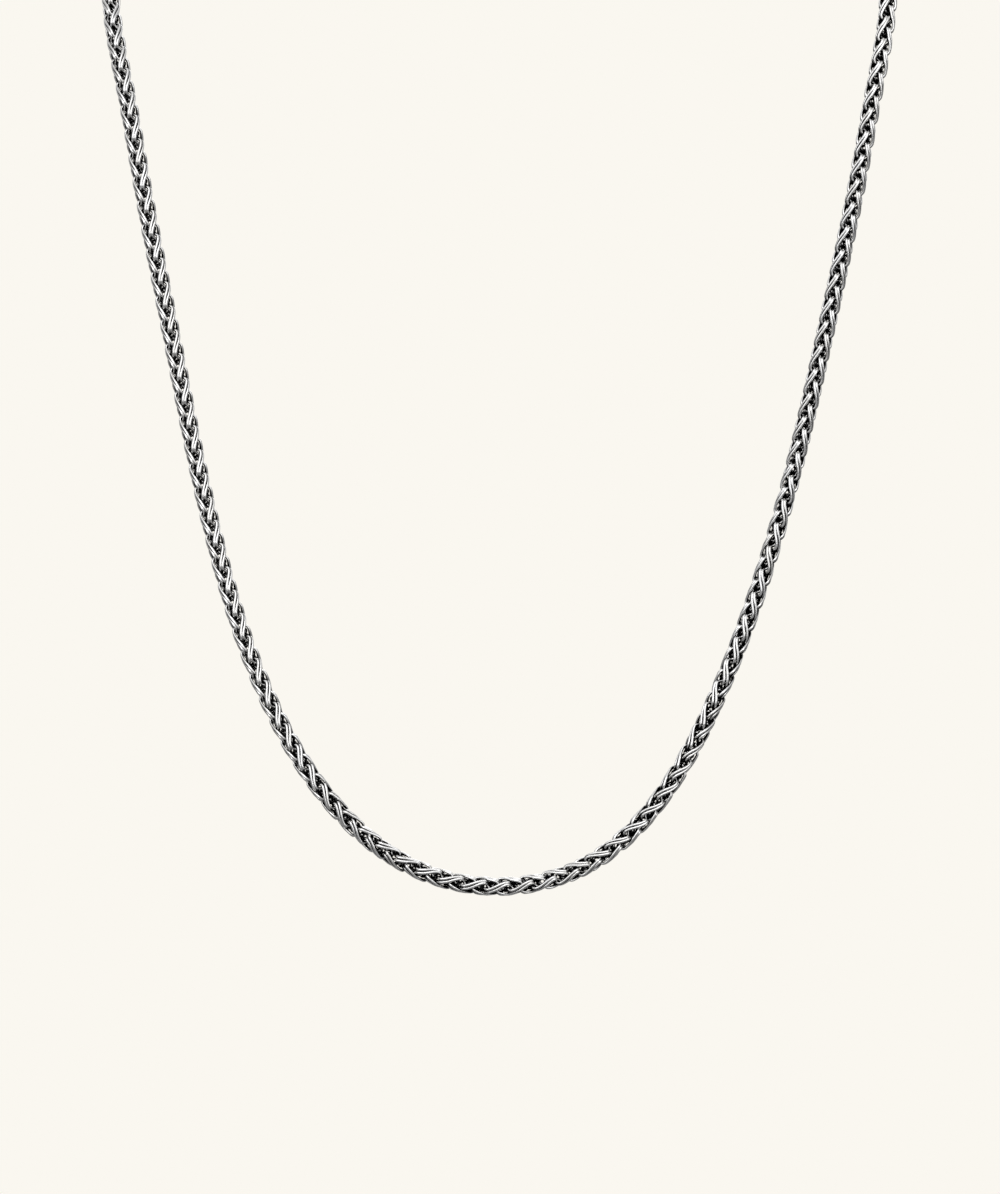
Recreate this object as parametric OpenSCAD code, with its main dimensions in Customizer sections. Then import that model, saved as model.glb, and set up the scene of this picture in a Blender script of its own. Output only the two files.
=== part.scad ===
// Wheat chain necklace, closed at the nape with end caps, rings and a clasp.
// Millimetres. +Z is up, the front of the wearer looks towards -Y, and the
// origin is the middle of the clasp, where the chain rests on the nape.

/* [Loop] */
// Width between the two strands at the sides of the neck
loop_w = 133; // [124:1:146]
// Depth from the nape to the front of the chest
loop_depth = 76; // [68:1:84]
// Drop from the nape to the bottom of the curve
loop_drop = 188; // [176:1:200]

/* [Chain] */
// Thickness over the weave, from flat to flat
chain_d = 3.1; // [2.4:0.1:3.2]

/* [End caps] */
// Wall of the cup that holds an end of the chain
cap_wall = 0.45; // [0.35:0.05:0.8]
// Depth of the cup
cap_depth = 3.8; // [2.5:0.1:5]
// Thickness of the closed end of the cup
cap_floor = 1; // [0.8:0.1:1.6]
// Hole of the loop soldered to the closed end
loop_hole = 2.1; // [1.8:0.1:2.8]

/* [Rings] */
// Wire of the loops and of the jump ring
ring_wire = 0.9; // [0.7:0.05:1]
// Hole of the jump ring between the left cap and the clasp
jump_ring_hole = 3.1; // [2.6:0.1:4]
// Wire of the ring that the clasp hooks into
catch_wire = 1; // [0.8:0.05:1.1]
// Hole of the ring that the clasp hooks into
catch_ring_hole = 4; // [3.6:0.1:5]

/* [Clasp] */
// Width across the head of the clasp
clasp_w = 6.4; // [6:0.1:7.5]
// Width across its tail
tail_w = 2.8; // [2.4:0.1:3.4]
// Distance between the middles of head and tail
clasp_reach = 6.4; // [6:0.1:8]
// Thickness of the clasp
clasp_t = 2.2; // [1.8:0.1:2.6]
// Width of the hook and of the lever round the mouth
clasp_rim = 1.3; // [1.1:0.05:1.5]
// Bevel along the edges of the clasp
clasp_bevel = 0.4; // [0.2:0.05:0.5]
// Length of the thumb tab that stands out of the lever
tab_l = 1.6; // [1.2:0.1:2]

/* [Fit] */
// Room left between pieces that hang in each other, and round the chain's ends
play = 0.1; // [0.06:0.01:0.14]

/* [Hidden] */

SILVER = [0.66, 0.65, 0.63];
DARK_SILVER = [0.5, 0.49, 0.48];

// Eight flats, so the corners stand a little outside the weave's thickness
SIDES = 8;
tube_r = chain_d / 2 / cos(180 / SIDES);
// Three rings in each span of the route, which is a ring every 5 mm or so
RINGS_PER_SPAN = 3;

wire_r = ring_wire / 2;
catch_r = catch_wire / 2;
loop_r = loop_hole / 2 + wire_r;
cap_r = tube_r + play + cap_wall;
// How far a loop sinks into what it is soldered to
SOLDER = 0.2;

// The clasp lies along X with its head to the right, middle at the origin
head_x = clasp_reach / 2 - (clasp_w - tail_w) / 4;
tail_x = head_x - clasp_reach;
mouth_r = clasp_w / 2 - clasp_rim;
MOUTH_SHARE = 0.72;
mouth_end = head_x + mouth_r;
eye_x = tail_x - tail_w / 2 - loop_r + wire_r + SOLDER;

// Middle of the catch ring: its wire lies in the mouth and clears the hook's corners
catch_x = mouth_end + sqrt(pow(catch_ring_hole / 2, 2) - pow(clasp_t / 2, 2)) - play;
right_loop_x = catch_x + catch_ring_hole / 2 - play + loop_hole / 2;
right_cap_x = right_loop_x + loop_r - SOLDER;

// Middle of the jump ring, which hangs in the clasp's eye
jump_x = eye_x - loop_hole / 2 + play - jump_ring_hole / 2;
left_loop_x = jump_x - jump_ring_hole / 2 + play - loop_hole / 2;
left_cap_x = left_loop_x - loop_r + SOLDER;

chain_start = [left_cap_x - cap_floor - play, 0, 0];
chain_end = [right_cap_x + cap_floor + play, 0, 0];

// Points that draw the chain: round the left of the neck from the nape, down
// the chest, through the bottom of the curve and up again on the right. They
// are drawn for a loop of DRAWN width, depth and drop.
DRAWN = [133, 76, 188];
ROUTE = [
    [-27, 0, 0], [-42, -6, -3], [-55.5, -18, -10], [-64.5, -33, -22],
    [-66.2, -46.5, -38.5], [-62.2, -52.5, -55], [-59.8, -55, -70], [-56.8, -58, -85],
    [-53.7, -60.5, -100], [-50.8, -63, -115], [-47.3, -66, -130], [-43, -68.5, -145.3],
    [-36.4, -71.5, -161.2], [-27.5, -74, -175], [-14.5, -75.5, -185.6], [1.5, -76, -188.7],
    [17.1, -75.5, -184.2], [28.5, -73.5, -172], [36, -71, -157.5], [41.8, -68.5, -143.1],
    [46.7, -65.5, -128], [50.7, -63, -113], [54.1, -60.5, -98], [57.5, -57.5, -83],
    [60.7, -55, -68], [63.2, -52, -53.5], [66.7, -46, -38], [64.5, -33, -22],
    [55.5, -18, -10], [42, -6, -3], [27, 0, 0]
];
route = [for (p = ROUTE)
    [p[0] * loop_w / DRAWN[0], p[1] * loop_depth / DRAWN[1], p[2] * loop_drop / DRAWN[2]]];

// Centre line of the chain: a cubic B-spline, which passes close by its points
function padded(points) = let (last = len(points) - 1) concat(
    [2 * points[0] - points[1]], points, [2 * points[last] - points[last - 1]]);
function spline(p, i, t) = (pow(1 - t, 3) * p[i]
    + (3 * pow(t, 3) - 6 * pow(t, 2) + 4) * p[i + 1]
    + (-3 * pow(t, 3) + 3 * pow(t, 2) + 3 * t + 1) * p[i + 2]
    + pow(t, 3) * p[i + 3]) / 6;
function centre_line(points, steps) = let (p = padded(points)) concat(
    [for (i = [0 : len(points) - 2]) for (k = [0 : steps - 1]) spline(p, i, k / steps)],
    [points[len(points) - 1]]);

// One ring of a tube: corners round c, square to the direction d
function unit(v) = v / norm(v);
function ring(c, d, r) = let (u = unit(cross(d, [0, 1, 0])), v = cross(d, u))
    [for (k = [0 : SIDES - 1]) let (a = (k + 0.5) * 360 / SIDES) c + r * (cos(a) * u + sin(a) * v)];
function direction(line, i) = unit(line[min(i + 1, len(line) - 1)] - line[max(i - 1, 0)]);

module tube(line, r) {
    count = len(line);
    corners = [for (i = [0 : count - 1]) each ring(line[i], direction(line, i), r)];
    walls = [for (i = [0 : count - 2]) for (k = [0 : SIDES - 1])
        let (a = i * SIDES + k, b = i * SIDES + (k + 1) % SIDES)
        each [[a, b, b + SIDES], [a, b + SIDES, a + SIDES]]];
    first_end = [for (k = [SIDES - 1 : -1 : 0]) k];
    last_end = [for (k = [0 : SIDES - 1]) (count - 1) * SIDES + k];
    polyhedron(corners, concat([first_end], walls, [last_end]));
}

// A closed ring of round wire round the origin, flat in the XY plane
module wire_ring(hole, r) {
    rotate_extrude($fn = 48)
        translate([hole / 2 + r, 0])
            circle(r, $fn = 24);
}

// The same ring turned up into the XZ plane
module upright_ring(hole, r) {
    rotate([90, 0, 0])
        wire_ring(hole, r);
}

module chain() {
    color(DARK_SILVER)
        tube(centre_line(concat([chain_start], route, [chain_end]), RINGS_PER_SPAN), tube_r);
}

// Cup with its closed end at x = 0, open towards +X, and its loop on the -X side
module end_cap() {
    rotate([0, 90, 0])
        difference() {
            cylinder(h = cap_floor + cap_depth, r = cap_r, $fn = 48);
            translate([0, 0, cap_floor])
                cylinder(h = cap_depth + 1, r = tube_r + play, $fn = 48);
        }
    translate([SOLDER - loop_r, 0, 0])
        upright_ring(loop_hole, wire_r);
}

module left_end_cap() {
    color(SILVER)
        translate([left_cap_x, 0, 0])
            mirror([1, 0, 0])
                end_cap();
}

module right_end_cap() {
    color(SILVER)
        translate([right_cap_x, 0, 0])
            end_cap();
}

module jump_ring() {
    color(SILVER)
        translate([jump_x, 0, 0])
            wire_ring(jump_ring_hole, wire_r);
}

module catch_ring() {
    color(SILVER)
        translate([catch_x, 0, 0])
            wire_ring(catch_ring_hole, catch_r);
}

// A slice of the clasp's drop shape, thick across Y and drawn in by a bevel
module drop(thick, inset) {
    rotate([90, 0, 0])
        linear_extrude(thick, center = true) {
            translate([head_x, 0])
                circle(clasp_w / 2 - inset, $fn = 48);
            translate([tail_x, 0])
                circle(tail_w / 2 - inset, $fn = 48);
        }
}

// The closed clasp in one piece: hook, lever, thumb tab and eye
module clasp() {
    color(SILVER) {
        difference() {
            union() {
                hull() {
                    drop(clasp_t, clasp_bevel);
                    drop(clasp_t - 2 * clasp_bevel, 0);
                }
                translate([tail_x + clasp_reach * 0.45, 0, tail_w / 2])
                    rotate([90, 0, 0])
                        cylinder(h = clasp_t - 2 * clasp_bevel, r = tab_l, center = true, $fn = 32);
            }
            hull()
                for (share = [0, 1])
                    translate([head_x - share * (clasp_reach / 2), 0, 0])
                        rotate([90, 0, 0])
                            cylinder(h = clasp_t + 1, center = true, $fn = 32,
                                r = mouth_r * (share == 0 ? 1 : 1 - MOUTH_SHARE));
        }
        translate([eye_x, 0, 0])
            upright_ring(loop_hole, wire_r);
    }
}

chain();
left_end_cap();
right_end_cap();
jump_ring();
clasp();
catch_ring();
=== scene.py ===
"""Wheat chain necklace: woven links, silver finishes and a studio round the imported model."""

import math

import bpy
import numpy as np
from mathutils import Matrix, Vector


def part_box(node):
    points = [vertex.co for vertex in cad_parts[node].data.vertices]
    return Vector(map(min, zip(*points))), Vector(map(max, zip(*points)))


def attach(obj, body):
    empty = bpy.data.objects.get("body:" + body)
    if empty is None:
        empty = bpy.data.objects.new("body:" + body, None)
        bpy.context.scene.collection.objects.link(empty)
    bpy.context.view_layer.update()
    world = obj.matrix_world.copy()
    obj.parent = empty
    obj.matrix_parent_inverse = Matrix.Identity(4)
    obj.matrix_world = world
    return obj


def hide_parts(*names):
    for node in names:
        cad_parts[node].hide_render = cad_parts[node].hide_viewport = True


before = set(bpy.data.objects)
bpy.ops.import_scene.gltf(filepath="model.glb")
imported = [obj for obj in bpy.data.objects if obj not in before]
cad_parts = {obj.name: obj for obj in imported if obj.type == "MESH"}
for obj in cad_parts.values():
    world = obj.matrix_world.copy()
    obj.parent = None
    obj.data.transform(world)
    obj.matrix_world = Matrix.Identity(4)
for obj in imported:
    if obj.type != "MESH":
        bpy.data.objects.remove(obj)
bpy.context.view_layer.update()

bl_info = {
    "name": "Wheat chain necklace",
    "version": (1, 0, 0),
    "blender": (4, 5, 0),
    "location": "3D View > Sidebar > Necklace",
    "description": "Weaves a wheat chain along its route and gives its fittings a silver finish",
    "category": "Object",
}

# Lengths in the weave are worked out in millimetres and turned to metres when a mesh is made
MM = 0.001

# Points that the chain follows from the left of the nape, down and round, to the right of it
ROUTE = np.array([
    [-27, 0, 0], [-42, -6, -3], [-55.5, -18, -10], [-64.5, -33, -22],
    [-66.2, -46.5, -38.5], [-62.2, -52.5, -55], [-59.8, -55, -70], [-56.8, -58, -85],
    [-53.7, -60.5, -100], [-50.8, -63, -115], [-47.3, -66, -130], [-43, -68.5, -145.3],
    [-36.4, -71.5, -161.2], [-27.5, -74, -175], [-14.5, -75.5, -185.6], [1.5, -76, -188.7],
    [17.1, -75.5, -184.2], [28.5, -73.5, -172], [36, -71, -157.5], [41.8, -68.5, -143.1],
    [46.7, -65.5, -128], [50.7, -63, -113], [54.1, -60.5, -98], [57.5, -57.5, -83],
    [60.7, -55, -68], [63.2, -52, -53.5], [66.7, -46, -38], [64.5, -33, -22],
    [55.5, -18, -10], [42, -6, -3], [27, 0, 0],
])
# The chain ends inside the two caps, just off the floor of each cup
CAP_DEPTH = 3.8
PLAY = 0.1
CHAIN_START = [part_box("left_end_cap")[0].x / MM + CAP_DEPTH - PLAY, 0, 0]
CHAIN_END = [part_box("right_end_cap")[1].x / MM - CAP_DEPTH + PLAY, 0, 0]
# The last links stay this far inside the ends of that line
END_ROOM = 0.06

# The chain lies twisted: at so many millimetres from its lowest point it has turned so many
# degrees about its own line
TURN = np.array([
    [-70, 302], [-44, 286], [-34, 274], [-14, 205], [6, 158], [27, 98], [37, 75],
    [58, 6], [68, -8], [78, -12], [98, -42], [129, -48], [139, -55], [159, -60],
])
# It hangs slack at the bottom, where the links sit closer together: at so many millimetres from
# the lowest point, their distance over that of a taut chain
SLACK = np.array([
    [-110, 1], [-80, 0.985], [-50, 0.97], [-33, 0.94], [14, 0.94], [26, 0.97], [62, 0.97],
    [74, 0.99], [110, 1],
])
# A link of the first row has its middle this far past the lowest point
FIRST_ROW_MIDDLE = 68.0
LINK_ROWS = 4
# No link has its middle nearer to an end of the chain than this share of a pitch
END_SHARE = 0.15

# Half a link's length is so many pitches plus so many wires
HALF_PITCHES = 0.75
HALF_WIRES = 0.6
# So many pitches to each side of its middle a link has wound so many degrees about the chain's
# line, and it winds a few more towards its tips
WOUND_PITCHES = 0.6
WIND = 37
TIP_WIND = 8
# How the two ends of a link bend in, from so many pitches off its middle. A shoulder and then a
# dive take them in, each by a share of the way to half a wire from the chain's line. Where the
# shoulder ends, where the eye starts to open, and how long it takes to, are shares of the way
# from start to tip.
NOSE = {
    "start": 0.45, "shoulder": 0.3, "shoulder_end": 0.35, "dive": 0.7,
    "eye_start": 0.2, "eye_length": 0.4,
}
TAIL = {
    "start": 0.36, "shoulder": 0.2, "shoulder_end": 0.5, "dive": 0.8,
    "eye_start": 0.4, "eye_length": 0.3,
}
# The dive is over at this share of that way
DIVE_END = 0.95
# The wire's distance from the link's own middle line, in wires: in the squeezed part, how much
# less on its nose side, where the two wires are soldered together, and in the eyes
SQUEEZED = 0.56
SOLDERED = 0.15
EYE = 1.5
# How the way that brightens the wire meets it, over what comes straight from outside: what comes
# from the side away from the twin wire, how much less of that comes on the nose side, how much
# more reaches the nose's tip, and how much less the tail. Where the wire faces that way it is
# bright silver, and elsewhere black: partly sulphide that tumbling doesn't rub off, and partly
# painted shade on the wires' flanks, in the grooves and in the tail's dive. The gain at the
# nose's tip keeps deep tips bright, as painted light.
BESIDE = 0.6
NOSE_BESIDE = 0.5
TIP_GAIN = 4
TAIL_LOSS = 0.7
# It leans so many degrees out past both ends. The lean and the tail's loss are full at these
# shares of the way from start to tip.
LEAN = 40
LEAN_END = 0.35
LOSS_END = 0.3

# Stations along one link's wire, each a ring of four corners. They are few, because the link is
# repeated hundreds of times.
STATIONS = 26
# How evenly they stand: at 0 they would all be where the wire bends
EVENNESS = 0.35
# The subdivided ring's mean radius over that of its four corners
CAGE_SHARE = 0.657
# How much the depth in the weave turns the wire black: sulphide out of the tumbling's reach, and
# painted shade deep in the weave
DEPTH_WEIGHT = 1.1

# The links are three meshes, from the left end of the chain to the right
STRETCHES = ("left_links", "front_links", "right_links")
# Draws which links are a little warmer in colour
TONE_SEED = 4
FITTINGS = ("left_end_cap", "right_end_cap", "jump_ring", "clasp", "catch_ring")

# Metres from here on
FLOOR_HALF = 3.0
FLOOR_HEIGHT = -0.45
# The softboxes look at this point
LIT_POINT = (0.0, -0.06, -0.1)
# Each softbox has a name, a place, the side of its square and the setting for its power
SOFTBOXES = (
    ("top_light", (-0.2, -1.3, 1.2), 1.0, "top_power"),
    ("left_light", (-1.2, -1.4, 0.35), 0.9, "side_power"),
    ("right_light", (1.2, -1.4, 0.2), 0.9, "side_power"),
    ("back_light", (0.3, 1.4, 1.0), 1.2, "top_power"),
)
# The camera's distance is measured from here, and it stands this far to the right
CHEST_FRONT = -0.065
EYE_SIDE = 0.33 * MM
# Width of the camera's sensor in millimetres, and the picture's height over its width
SENSOR = 36.0
PICTURE_SHAPE = 1.194


def linear(colour):
    """An sRGB hex colour as linear red, green, blue and alpha: the sRGB curve undone."""
    parts = np.array([int(colour[i:i + 2], 16) for i in (1, 3, 5)]) / 255
    low = parts / 12.92
    high = ((parts + 0.055) / 1.055) ** 2.4
    return (*np.where(parts <= 0.04045, low, high), 1.0)


def unit(vectors):
    """Each vector over its own length."""
    return vectors / np.linalg.norm(vectors, axis=-1, keepdims=True)


def smooth(share):
    """A step with eased ends, 3x squared less 2x cubed, for a share from 0 to 1."""
    share = np.clip(share, 0, 1)
    return share * share * (3 - 2 * share)


def centre_line(steps=60):
    """The line that the chain follows, a cubic B-spline over the route: each point is the mean of
    four route points with the weights (1-t)^3, 3t^3-6t^2+4, -3t^3+3t^2+3t+1 and t^3, over 6.
    Returns the length along it, the points, and at each the way along, the way to the front
    and the way to the inside of the loop."""
    points = np.vstack([CHAIN_START, ROUTE, CHAIN_END])
    points = np.vstack([2 * points[0] - points[1], points, 2 * points[-1] - points[-2]])
    t = np.arange(steps) / steps
    weights = np.stack([
        (1 - t) ** 3, 3 * t**3 - 6 * t**2 + 4, -3 * t**3 + 3 * t**2 + 3 * t + 1, t**3,
    ], axis=1) / 6
    fours = np.lib.stride_tricks.sliding_window_view(points, 4, axis=0)
    line = np.einsum("tk,nck->ntc", weights, fours).reshape(-1, 3)
    line = np.vstack([line, CHAIN_END])
    length = np.r_[0, np.cumsum(np.linalg.norm(np.diff(line, axis=0), axis=1))]
    along = unit(np.gradient(line, length, axis=0))
    front = np.array([0.0, -1.0, 0.0])
    front = unit(front - (along @ front)[:, None] * along)
    return length, line, along, front, np.cross(front, along)


def link_wire(wire, weave, pitch, steps=800):
    """One link's wire as a closed line round the middle (0, 0, 0), with the chain's line along X.
    The link's own middle line winds about the chain's line on the weave's radius, by its full
    angle times the sine of 90 degrees times the share of the wound part that is passed. Near
    each end it bends in sharply, like a shoulder, and then dives on until it is half a wire from
    the chain's line. The wire runs there on one side of it and back on the other, about half a
    wire off where the link is squeezed and one and a half in the eyes, which close with half an
    ellipse. Returns the points, the way square to the link's face at each, and the way that the
    wire must face to be bright silver rather than black: from outside, past the ends and away
    from the twin wire. That black is partly sulphide left by tumbling and partly painted shade."""
    half = HALF_PITCHES * pitch + HALF_WIRES * wire
    sweep = np.linspace(-1, 1, steps)
    x = half * np.sin(sweep * np.pi / 2)
    far = np.abs(x)
    wound = WOUND_PITCHES * pitch
    wind = np.radians(WIND + TIP_WIND * smooth((far - wound) / (half - wound)))
    wind = wind * np.sin(np.pi / 2 * np.clip(x / wound, -1, 1))

    nose = x > 0
    end = {key: np.where(nose, NOSE[key], TAIL[key]) for key in NOSE}
    start = end["start"] * pitch
    dive = np.clip((far - start) / (half - start), 0, 1)
    bend = end["shoulder"] * smooth(dive / end["shoulder_end"])
    drop = bend + end["dive"] * smooth(dive / DIVE_END)
    out = weave - (weave - 0.5 * wire) * drop
    middle = np.stack([x, out * np.cos(wind), out * np.sin(wind)], 1)
    along = unit(np.gradient(middle, axis=0))
    across = np.stack([0 * wind, -np.sin(wind), np.cos(wind)], 1)
    across = unit(across - np.sum(across * along, 1)[:, None] * along)
    face = np.cross(along, across)

    # The two wires draw together between 0.1 pitches on the tail side and 0.4 on the nose side
    slit = SQUEEZED - SOLDERED * smooth(2 * x / pitch + 0.2)
    opened = smooth((dive - end["eye_start"]) / end["eye_length"])
    spread = wire * (slit + (EYE - slit) * opened)
    # 0 up to one wire from the tip, and 1 at the tip
    closing = np.clip((far - half) / wire + 1, 0, 1)
    shift = (spread * np.sqrt(1 - closing**2))[:, None] * across

    # From beside, the way fades between 0.1 and 0.35 pitches on the nose side. It leaves the groove
    # between the twin wires black, as sulphide and as painted shade, and less so near the nose
    beside = (BESIDE - NOSE_BESIDE * smooth(4 * x / pitch - 0.4))[:, None] * across
    lean = np.radians(LEAN) * smooth(dive / LEAN_END)
    # The nose's tip counts as facing out more strongly, so that it stays bright silver deep in the
    # weave as painted light; the tail's dive counts less, and goes black as sulphide and painted
    # shade
    reach_and_light = np.where(
        nose, 1 + TIP_GAIN * smooth(2 * closing), 1 - TAIL_LOSS * smooth(dive / LOSS_END))
    outside = reach_and_light[:, None] * np.stack([
        np.sign(x) * np.sin(lean), np.cos(lean) * np.cos(wind), np.cos(lean) * np.sin(wind),
    ], 1)
    back = slice(-2, 0, -1)
    return (
        np.vstack([middle + shift, (middle - shift)[back]]),
        np.vstack([face, face[back]]),
        np.vstack([outside + beside, (outside - beside)[back]]),
    )


def link_cage(wire, weave, pitch):
    """The cage of one link for a subdivision surface: four corners round each station of its
    wire. Stations stand closer where the wire bends more. A cubic B-spline passes inside its
    corners, so the stations are first moved outwards until a sixth, four sixths and a sixth of
    three neighbours give the wire's own line. Returns the corners, and how bright each is to be:
    how far it faces the way that brightens it, less its depth in the weave. Low values turn the
    wire black, for sulphide and for painted shade on its flanks and deep in the weave."""
    line, face, outward = link_wire(wire, weave, pitch)
    gap = np.linalg.norm(np.roll(line, -1, 0) - line, axis=1)
    along = unit(np.roll(line, -1, 0) - np.roll(line, 1, 0))
    bend = np.linalg.norm(np.roll(along, -1, 0) - np.roll(along, 1, 0), axis=1) / (2 * gap)
    crowd = (np.sqrt(bend * wire) + EVENNESS) * gap
    run = np.r_[0, np.cumsum(crowd)]
    at = run[-1] * np.arange(STATIONS) / STATIONS
    closed = (np.vstack([part, part[:1]]) for part in (line, face, outward))
    line, face, outward = (
        np.stack([np.interp(at, run, part[:, i]) for i in range(3)], 1) for part in closed)
    ring = np.eye(STATIONS)
    line = np.linalg.solve((4 * ring + np.roll(ring, 1, 0) + np.roll(ring, -1, 0)) / 6, line)
    along = unit(np.roll(line, -1, 0) - np.roll(line, 1, 0))
    face = unit(face - np.sum(face * along, 1)[:, None] * along)
    beside = np.cross(along, face)
    corner = np.radians(90 * np.arange(4))[None, :, None]
    way = np.cos(corner) * face[:, None] + np.sin(corner) * beside[:, None]
    # Corners that face away and corners deep in the weave come out low, and the material turns them
    # black: sulphide in the hollows, and painted shade on the flanks and inside the weave
    facing = np.sum(way * outward[:, None], axis=2)
    depth = 1 - np.hypot(line[:, 1], line[:, 2])[:, None] / weave
    return line[:, None] + wire / 2 / CAGE_SHARE * way, facing - DEPTH_WEIGHT * depth


def weave_links(sizes):
    """The cage corners of every link in millimetres, in order along the chain. The four rows
    stand at the quarters round the chain's line. Rows 1 and 3 have the link as it is, a pitch
    apart. Rows 2 and 4 have its mirror image, half a pitch on. The corners are then carried along
    the route and turned with the chain. Returns the corners, each link's row counted from 0, and
    how bright the corners of one link are to be, where low is black for sulphide and for painted
    shade."""
    pitch, wire = sizes.pitch / MM, sizes.wire / MM
    weave = sizes.width / MM / 2 - wire / 2
    length, line, along, front, inside = centre_line()
    lowest = length[np.argmin(line[:, 2])]
    cage, polish_and_shade = link_cage(wire, weave, pitch)
    # Lengths along a taut chain, which are shortened where it hangs slack
    closer = np.interp(length - lowest, SLACK[:, 0], SLACK[:, 1])
    taut = np.r_[0, np.cumsum(np.diff(length) * 2 / (closer[1:] + closer[:-1]))]
    full = taut[-1]

    first = np.interp(lowest + FIRST_ROW_MIDDLE, length, taut) % pitch
    nearest = END_SHARE * pitch
    middles, rows = [], []
    for row in range(LINK_ROWS):
        at = first + (row % 2) * pitch / 2 + pitch * np.arange(-1, int(full / pitch) + 2)
        at = at[(at > nearest) & (at < full - nearest)]
        middles.append(at)
        rows.append(np.full(len(at), row))
    middles, rows = np.concatenate(middles), np.concatenate(rows)
    order = np.argsort(middles)
    middles, rows = middles[order], rows[order]

    x, out, side = (np.broadcast_to(cage[..., i], (len(rows), *cage.shape[:2])) for i in range(3))
    hand = np.where(rows % 2 == 1, -1.0, 1.0)[:, None, None]
    quarter = np.radians(90 * rows)[:, None, None]
    side = side * hand
    radius, angle = np.hypot(out, side), np.arctan2(side, out) + quarter
    x = x + middles[:, None, None]

    # Inside the caps the last links are pushed together, as where they are soldered
    deep = CAP_DEPTH - 2 * PLAY
    reach = HALF_PITCHES * pitch + 2 * HALF_WIRES * wire - nearest
    x = np.interp(
        x, [-reach, deep, full - deep, full + reach],
        [END_ROOM, deep, full - deep, full - END_ROOM])

    x = np.interp(x, taut, length)
    turn = np.radians(np.interp(x - lowest, TURN[:, 0], TURN[:, 1])) + angle
    point, toward, inward = (
        np.stack([np.interp(x.ravel(), length, part[:, i]) for i in range(3)], -1)
        .reshape(*x.shape, 3) for part in (line, front, inside)
    )
    corners = point + (radius * np.cos(turn))[..., None] * toward
    corners = corners + (radius * np.sin(turn))[..., None] * inward
    return corners, rows, polish_and_shade


def link_faces(stations):
    """Four-sided faces of one link: corner k of a station to the next station and the next corner,
    closed both ways."""
    i = np.arange(stations)[:, None]
    k = np.arange(4)[None, :]
    j, n = (i + 1) % stations, (k + 1) % 4
    return np.stack([4 * i + k, 4 * j + k, 4 * j + n, 4 * i + n], -1).reshape(-1, 4)


def add_piece(name, vertices, faces, material):
    """A mesh object at the origin from corners in metres and four-sided faces."""
    mesh = bpy.data.meshes.new(name)
    mesh.vertices.add(len(vertices))
    mesh.vertices.foreach_set("co", vertices.astype(np.float32).ravel())
    mesh.loops.add(faces.size)
    mesh.loops.foreach_set("vertex_index", faces.astype(np.int32).ravel())
    mesh.polygons.add(len(faces))
    mesh.polygons.foreach_set("loop_start", np.arange(0, faces.size, faces.shape[1], dtype=np.int32))
    mesh.update(calc_edges=True)
    mesh.validate()
    mesh.polygons.foreach_set("use_smooth", np.ones(len(mesh.polygons), bool))
    mesh.materials.append(material)
    piece = bpy.data.objects.new(name, mesh)
    bpy.context.scene.collection.objects.link(piece)
    return piece


def add_node(tree, kind, sockets=None, **settings):
    """Adds a node with its settings. Each named or numbered socket gets a value, or a link when
    what is given is another node's socket."""
    node = tree.nodes.new(kind)
    for name, value in settings.items():
        setattr(node, name, value)
    for name, value in (sockets or {}).items():
        if isinstance(value, bpy.types.NodeSocket):
            tree.links.new(value, node.inputs[name])
        else:
            node.inputs[name].default_value = value
    return node


def new_material(name):
    """A material with an empty node tree."""
    material = bpy.data.materials.new(name)
    material.use_nodes = True
    material.node_tree.nodes.clear()
    return material, material.node_tree


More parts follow.
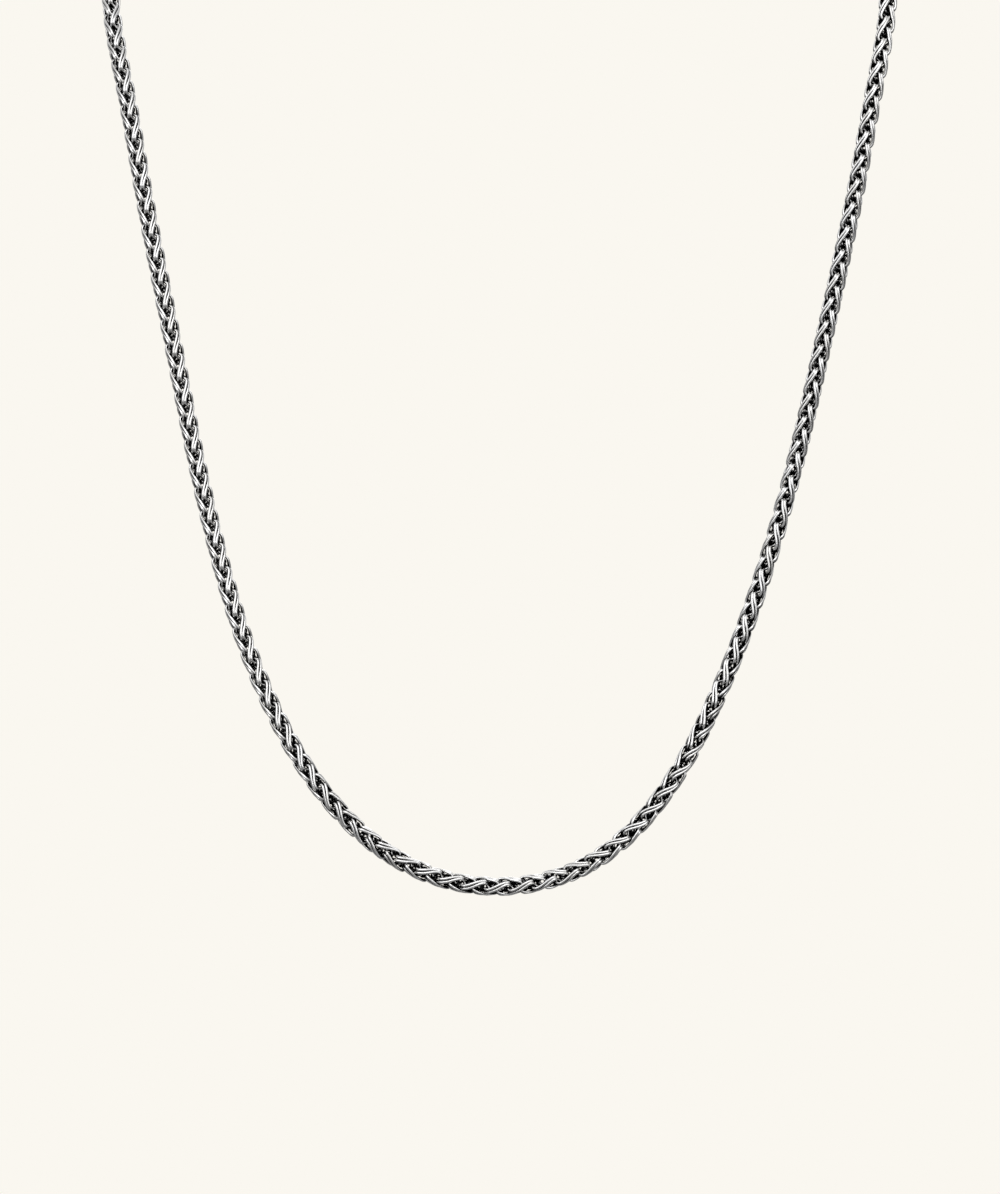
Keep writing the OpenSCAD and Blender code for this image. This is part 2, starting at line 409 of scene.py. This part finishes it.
def oxidised_silver(finish):
    """Sterling silver wire, blackened with sulphur and then tumbled. The outer faces of the wires
    are bright with a soft gloss, and black silver sulphide stays in the hollows. The same black
    paints shade on the wires' flanks, in the grooves between them and deep in the weave, and the
    deep tips of the noses are kept bright silver as painted light."""
    material, tree = new_material("oxidised_sterling_silver")
    place = add_node(tree, "ShaderNodeTexCoord").outputs["Object"]
    crest = add_node(tree, "ShaderNodeAttribute", attribute_name="crest").outputs["Fac"]
    tone = add_node(tree, "ShaderNodeAttribute", attribute_name="tone").outputs["Fac"]
    # Blotches where the black has rubbed away unevenly, about 0.25 mm across
    blotch = add_node(tree, "ShaderNodeTexNoise", {
        "Vector": place, "Scale": 1 / (0.25 * MM), "Detail": 3.0, "Roughness": 0.6,
    }).outputs["Fac"]
    # They move the edge of the black by up to half a unit of the brightness value read from the mesh
    edge = add_node(tree, "ShaderNodeMath", {
        0: blotch, 1: 0.5, 2: crest}, operation="MULTIPLY_ADD").outputs["Value"]
    # The step from black to bright silver is narrow, so that the wires' flanks turn black as painted
    # shade, besides the sulphide in the hollows
    shown = add_node(tree, "ShaderNodeMapRange", {
        "Value": edge, "From Min": 0.25, "From Max": 0.6,
    }, interpolation_type="SMOOTHSTEP").outputs["Result"]
    silver = add_node(tree, "ShaderNodeMix", {
        "Factor": tone, "A": finish.silver, "B": finish.silver_warm,
    }, data_type="RGBA").outputs["Result"]
    colour = add_node(tree, "ShaderNodeMix", {
        "Factor": shown, "A": finish.oxide_and_shade, "B": silver,
    }, data_type="RGBA").outputs["Result"]
    # Tumbling haze of fine pits, drawn at 0.06 mm so that it shows
    haze = add_node(tree, "ShaderNodeTexNoise", {
        "Vector": place, "Scale": 1 / (0.06 * MM), "Detail": 2.0,
    }).outputs["Fac"]
    # The black is duller than the bright silver, and the haze dulls both a little
    gloss = add_node(tree, "ShaderNodeMapRange", {
        "Value": shown, "To Min": 0.5, "To Max": 0.2,
    }).outputs["Result"]
    gloss = add_node(tree, "ShaderNodeMath", {
        0: haze, 1: 0.10, 2: gloss}, operation="MULTIPLY_ADD").outputs["Value"]
    relief = add_node(tree, "ShaderNodeBump", {
        "Height": haze, "Strength": 0.35, "Distance": 0.01 * MM,
    }).outputs["Normal"]
    metal = add_node(tree, "ShaderNodeBsdfPrincipled", {
        "Base Color": colour, "Metallic": 1.0, "Roughness": gloss, "Normal": relief,
    }).outputs["BSDF"]
    add_node(tree, "ShaderNodeOutputMaterial", {"Surface": metal})
    return material


def polished_silver(finish):
    """Sterling silver, cast or drawn, dipped with the chain and then buffed. Bright, with a faint
    buffing haze, thin clouds of tarnish, fine handling scratches, and black in its corners by their
    ambient occlusion: sulphide that the buff doesn't reach, and painted shade."""
    material, tree = new_material("polished_sterling_silver")
    place = add_node(tree, "ShaderNodeTexCoord").outputs["Object"]
    # Clouds of tarnish about a millimetre across
    cloud = add_node(tree, "ShaderNodeTexNoise", {
        "Vector": place, "Scale": 1 / (1.0 * MM), "Detail": 4.0, "Roughness": 0.65,
    }).outputs["Fac"]
    tarnish = add_node(tree, "ShaderNodeMapRange", {
        "Value": cloud, "From Min": 0.4, "From Max": 0.75, "To Max": 0.6,
    }).outputs["Result"]
    silver = add_node(tree, "ShaderNodeMix", {
        "Factor": tarnish, "A": finish.silver, "B": finish.tarnish,
    }, data_type="RGBA").outputs["Result"]
    # Scratches 0.05 mm apart and much longer than wide, so the pattern is drawn out along X
    stretched = add_node(tree, "ShaderNodeMapping", {
        "Vector": place, "Scale": (0.08, 1.0, 1.0),
    }).outputs["Vector"]
    scratch = add_node(tree, "ShaderNodeTexNoise", {
        "Vector": stretched, "Scale": 1 / (0.05 * MM), "Detail": 2.0,
    }).outputs["Fac"]
    # Corners narrower than about half a millimetre turn black by their ambient occlusion: sulphide
    # that the buff doesn't reach, and painted shade
    reach_and_light = add_node(tree, "ShaderNodeAmbientOcclusion", {
        "Distance": 0.6 * MM}, samples=8, only_local=True).outputs["AO"]
    buffed_and_lit = add_node(tree, "ShaderNodeMath", {
        0: cloud, 1: 0.4, 2: reach_and_light}, operation="MULTIPLY_ADD").outputs["Value"]
    shown = add_node(tree, "ShaderNodeMapRange", {
        "Value": buffed_and_lit, "From Min": 0.7, "From Max": 1.0,
    }, interpolation_type="SMOOTHSTEP").outputs["Result"]
    colour = add_node(tree, "ShaderNodeMix", {
        "Factor": shown, "A": finish.oxide_and_shade, "B": silver,
    }, data_type="RGBA").outputs["Result"]
    # Tarnished patches are duller, and the scratches dull them a little more
    gloss = add_node(tree, "ShaderNodeMapRange", {
        "Value": cloud, "From Min": 0.3, "From Max": 0.7, "To Min": 0.1, "To Max": 0.28,
    }).outputs["Result"]
    gloss = add_node(tree, "ShaderNodeMath", {
        0: scratch, 1: 0.08, 2: gloss}, operation="MULTIPLY_ADD").outputs["Value"]
    relief = add_node(tree, "ShaderNodeBump", {
        "Height": scratch, "Strength": 0.3, "Distance": 0.005 * MM,
    }).outputs["Normal"]
    metal = add_node(tree, "ShaderNodeBsdfPrincipled", {
        "Base Color": colour, "Metallic": 1.0, "Roughness": gloss, "Normal": relief,
    }).outputs["BSDF"]
    add_node(tree, "ShaderNodeOutputMaterial", {"Surface": metal})
    return material


def pale_paper(studio):
    """Matt paper. The camera sees it evenly lit and without shadows. The chain mirrors it in a
    darker shade, so that the undersides of the wires aren't washed out."""
    material, tree = new_material("pale_paper")
    seen = add_node(tree, "ShaderNodeLightPath").outputs["Is Camera Ray"]
    matt = add_node(tree, "ShaderNodeBsdfDiffuse", {"Color": studio.bounce}).outputs["BSDF"]
    even = add_node(tree, "ShaderNodeEmission", {"Color": studio.paper}).outputs["Emission"]
    both = add_node(tree, "ShaderNodeMixShader", {0: seen, 1: matt, 2: even}).outputs["Shader"]
    add_node(tree, "ShaderNodeOutputMaterial", {"Surface": both})
    return material


def studio_room(studio):
    """The surroundings. The camera sees paper. The chain mirrors a room that is bright above, in
    front and behind, and dark at the sides. How far a way points to the front or the back, times
    the walls' strength, plus how far it points up, times the ceiling's, is the brightness."""
    world = bpy.data.worlds.new("studio")
    world.use_nodes = True
    tree = world.node_tree
    tree.nodes.clear()
    seen = add_node(tree, "ShaderNodeLightPath").outputs["Is Camera Ray"]
    paper = add_node(tree, "ShaderNodeBackground", {
        "Color": studio.paper, "Strength": 1.0}).outputs["Background"]
    way = add_node(tree, "ShaderNodeTexCoord").outputs["Generated"]
    way = add_node(tree, "ShaderNodeSeparateXYZ", {"Vector": way}).outputs
    above = add_node(tree, "ShaderNodeMapRange", {
        "Value": way["Z"], "To Max": studio.ceiling_strength}).outputs["Result"]
    ahead = add_node(tree, "ShaderNodeMath", {0: way["Y"]}, operation="ABSOLUTE").outputs["Value"]
    strength = add_node(tree, "ShaderNodeMath", {
        0: ahead, 1: studio.wall_strength, 2: above}, operation="MULTIPLY_ADD").outputs["Value"]
    room = add_node(tree, "ShaderNodeBackground", {
        "Color": studio.light, "Strength": strength}).outputs["Background"]
    both = add_node(tree, "ShaderNodeMixShader", {0: seen, 1: room, 2: paper}).outputs["Shader"]
    add_node(tree, "ShaderNodeOutputWorld", {"Surface": both})
    return world


def add_softbox(name, place, aim, size, power):
    """A square area light at a place, turned towards a point."""
    light = bpy.data.lights.new(name, "AREA")
    light.shape = "SQUARE"
    light.size = size
    light.energy = power
    lamp = bpy.data.objects.new(name, light)
    back = unit(np.array(place, float) - np.array(aim, float))
    right = unit(np.cross([0.0, 0.0, 1.0], back))
    up = np.cross(back, right)
    turned = np.eye(4)
    turned[:3, :3] = np.stack([right, up, back], 1)
    turned[:3, 3] = place
    lamp.matrix_world = turned.T
    bpy.context.scene.collection.objects.link(lamp)


def add_camera(studio):
    """The camera, level and square to the chest, with a lens that takes in the frame's width."""
    camera = bpy.data.cameras.new("camera")
    camera.sensor_width = SENSOR
    # The sensor's width goes to the picture's long side, which is its height
    camera.lens = camera.sensor_width * studio.distance / (studio.frame_width * PICTURE_SHAPE)
    camera.clip_start, camera.clip_end = 0.01, 100.0
    eye = bpy.data.objects.new("camera", camera)
    eye.location = (EYE_SIDE, CHEST_FRONT - studio.distance, studio.eye_height)
    eye.rotation_euler = (math.radians(90), 0, 0)
    bpy.context.scene.collection.objects.link(eye)
    bpy.context.scene.camera = eye


class ChainSizes(bpy.types.PropertyGroup):
    """Sizes of the woven links."""

    width: bpy.props.FloatProperty(
        name="Width", description="Thickness over the weave",
        default=3.1 * MM, min=2.4 * MM, max=3.2 * MM, unit="LENGTH", precision=5)
    wire: bpy.props.FloatProperty(
        name="Wire", description="Thickness of the wire that the links are made of",
        default=0.47 * MM, min=0.35 * MM, max=0.5 * MM, unit="LENGTH", precision=5)
    pitch: bpy.props.FloatProperty(
        name="Pitch", description="Distance between two links of one row",
        default=4.16 * MM, min=3.6 * MM, max=4.6 * MM, unit="LENGTH", precision=5)


class SilverFinish(bpy.types.PropertyGroup):
    """Colours of the silver, and of the black that stands for its sulphide and for painted shade."""

    silver: bpy.props.FloatVectorProperty(
        name="Silver", description="Colour of freshly polished silver",
        default=linear("#fbfbfb"), min=0.0, max=1.0, size=4, subtype="COLOR")
    silver_warm: bpy.props.FloatVectorProperty(
        name="Aged silver", description="Colour of silver with a trace of tarnish",
        default=linear("#f2f1ef"), min=0.0, max=1.0, size=4, subtype="COLOR")
    tarnish: bpy.props.FloatVectorProperty(
        name="Tarnish", description="Colour of thin tarnish on the fittings",
        default=linear("#a8a5a0"), min=0.0, max=1.0, size=4, subtype="COLOR")
    # The black is sulphide in the hollows, and also painted shade on the wires' flanks, in the
    # grooves, deep in the weave and in the corners of the fittings
    oxide_and_shade: bpy.props.FloatVectorProperty(
        name="Oxide and shade", description="Colour of the black in the hollows",
        default=linear("#0b0b0c"), min=0.0, max=1.0, size=4, subtype="COLOR")


class StudioSettings(bpy.types.PropertyGroup):
    """Camera, paper and light of the studio."""

    distance: bpy.props.FloatProperty(
        name="Camera distance", description="From the camera to the front of the chest",
        default=1.8, min=1.0, max=4.0, unit="LENGTH")
    frame_width: bpy.props.FloatProperty(
        name="Frame width", description="Width that the picture takes in at that distance",
        default=166.67 * MM, min=0.1, max=0.4, unit="LENGTH")
    eye_height: bpy.props.FloatProperty(
        name="Eye height", description="Height of the camera over the nape",
        default=-139.5 * MM, min=-0.3, max=0.3, unit="LENGTH")
    paper: bpy.props.FloatVectorProperty(
        name="Paper", description="Colour of the floor and of what is behind the chain",
        default=linear("#faf7f0"), min=0.0, max=1.0, size=4, subtype="COLOR")
    bounce: bpy.props.FloatVectorProperty(
        name="Floor shade", description="Colour of the floor as the chain reflects it",
        default=linear("#848484"), min=0.0, max=1.0, size=4, subtype="COLOR")
    light: bpy.props.FloatVectorProperty(
        name="Light", description="Colour of the light in the room",
        default=linear("#ffffff"), min=0.0, max=1.0, size=4, subtype="COLOR")
    wall_strength: bpy.props.FloatProperty(
        name="Walls", description="Brightness of the room in front and behind",
        default=0.68, min=0.0, max=5.0)
    ceiling_strength: bpy.props.FloatProperty(
        name="Ceiling", description="Brightness of the room above",
        default=0.6, min=0.0, max=5.0)
    top_power: bpy.props.FloatProperty(
        name="Top lights", description="Power of the softboxes above, in front and behind",
        default=5.5, min=0.0, max=200.0, unit="POWER")
    side_power: bpy.props.FloatProperty(
        name="Side lights", description="Power of the softboxes to the left and right of the camera",
        default=3.6, min=0.0, max=200.0, unit="POWER")


class NECKLACE_OT_weave_links(bpy.types.Operator):
    """Weave the chain's links and let them stand for the plain tube"""

    bl_idname = "necklace.weave_links"
    bl_label = "Weave the links"

    def execute(self, context):
        """Makes the links in three stretches along the chain, each one mesh."""
        corners, rows, polish_and_shade = weave_links(context.scene.chain_sizes)
        material = oxidised_silver(context.scene.silver_finish)
        stations = corners.shape[1]
        one = link_faces(stations)
        mirrored = one[:, ::-1]
        # The material reads two values: how bright a corner is to be, which makes it bright silver
        # or black, the black standing for sulphide and for painted shade, and one warmth for each
        # whole link
        crest = np.broadcast_to(polish_and_shade, corners.shape[:3])
        tone = np.random.default_rng(TONE_SEED).random(len(rows))
        for number, name in enumerate(STRETCHES):
            low, high = (round(len(rows) * (number + k) / len(STRETCHES)) for k in (0, 1))
            chosen = slice(low, high)
            # A mirrored link has its faces the other way round, so that they point outwards too
            faces = np.where((rows[chosen] % 2 == 1)[:, None, None], mirrored[None], one[None])
            faces = faces + (4 * stations * np.arange(high - low))[:, None, None]
            piece = add_piece(
                name, corners[chosen].reshape(-1, 3) * MM, faces.reshape(-1, 4), material)
            for key, values in (
                ("crest", crest[chosen].ravel()), ("tone", np.repeat(tone[chosen], 4 * stations)),
            ):
                layer = piece.data.attributes.new(key, "FLOAT", "POINT")
                layer.data.foreach_set("value", values.astype(np.float32))
            rounding = piece.modifiers.new("rounding", "SUBSURF")
            rounding.levels = rounding.render_levels = 1
            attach(piece, "root")
            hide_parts("chain")
        return {"FINISHED"}


class NECKLACE_OT_finish_fittings(bpy.types.Operator):
    """Give the caps, the rings and the clasp their polished silver"""

    bl_idname = "necklace.finish_fittings"
    bl_label = "Finish the fittings"

    def execute(self, context):
        """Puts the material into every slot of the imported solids."""
        material = polished_silver(context.scene.silver_finish)
        for name in FITTINGS:
            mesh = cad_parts[name].data
            mesh.materials.clear()
            mesh.materials.append(material)
        return {"FINISHED"}


class NECKLACE_OT_set_stage(bpy.types.Operator):
    """Set up the paper, the lights and the camera"""

    bl_idname = "necklace.set_stage"
    bl_label = "Set the stage"

    def execute(self, context):
        """Makes the floor, the surroundings, four softboxes and the camera."""
        studio = context.scene.studio_settings
        context.scene.view_settings.view_transform = "Standard"
        corner = FLOOR_HALF * np.array([[-1, -1], [1, -1], [1, 1], [-1, 1]])
        floor = add_piece(
            "floor", np.c_[corner, np.full(4, FLOOR_HEIGHT)], np.array([[0, 1, 2, 3]]),
            pale_paper(studio))
        context.scene.world = studio_room(studio)
        for name, place, size, power in SOFTBOXES:
            add_softbox(name, place, LIT_POINT, size, getattr(studio, power))
        add_camera(studio)
        return {"FINISHED"}


class NECKLACE_PT_panel(bpy.types.Panel):
    """The necklace's steps and settings in the sidebar"""

    bl_idname = "NECKLACE_PT_panel"
    bl_label = "Wheat chain necklace"
    bl_space_type = "VIEW_3D"
    bl_region_type = "UI"
    bl_category = "Necklace"

    def draw(self, context):
        """One button for each step, with the settings that it uses over it."""
        layout = self.layout
        for step, settings in STEPS:
            group = getattr(context.scene, settings)
            for key in group.bl_rna.properties.keys():
                if key not in {"rna_type", "name"}:
                    layout.prop(group, key)
            layout.operator(step.bl_idname)


SETTINGS = {
    "chain_sizes": ChainSizes,
    "silver_finish": SilverFinish,
    "studio_settings": StudioSettings,
}
STEPS = (
    (NECKLACE_OT_weave_links, "chain_sizes"),
    (NECKLACE_OT_finish_fittings, "silver_finish"),
    (NECKLACE_OT_set_stage, "studio_settings"),
)
CLASSES = (*SETTINGS.values(), *(step for step, _ in STEPS), NECKLACE_PT_panel)


def register():
    """Registers the classes and hangs the settings on the scene."""
    for kind in CLASSES:
        bpy.utils.register_class(kind)
    for name, kind in SETTINGS.items():
        setattr(bpy.types.Scene, name, bpy.props.PointerProperty(type=kind))


def unregister():
    """Takes the settings and the classes away again."""
    for name in SETTINGS:
        delattr(bpy.types.Scene, name)
    for kind in reversed(CLASSES):
        bpy.utils.unregister_class(kind)


def main():
    """Makes the pieces in order."""
    register()
    bpy.ops.necklace.weave_links()
    bpy.ops.necklace.finish_fittings()
    bpy.ops.necklace.set_stage()


if __name__ == "__main__":
    main()
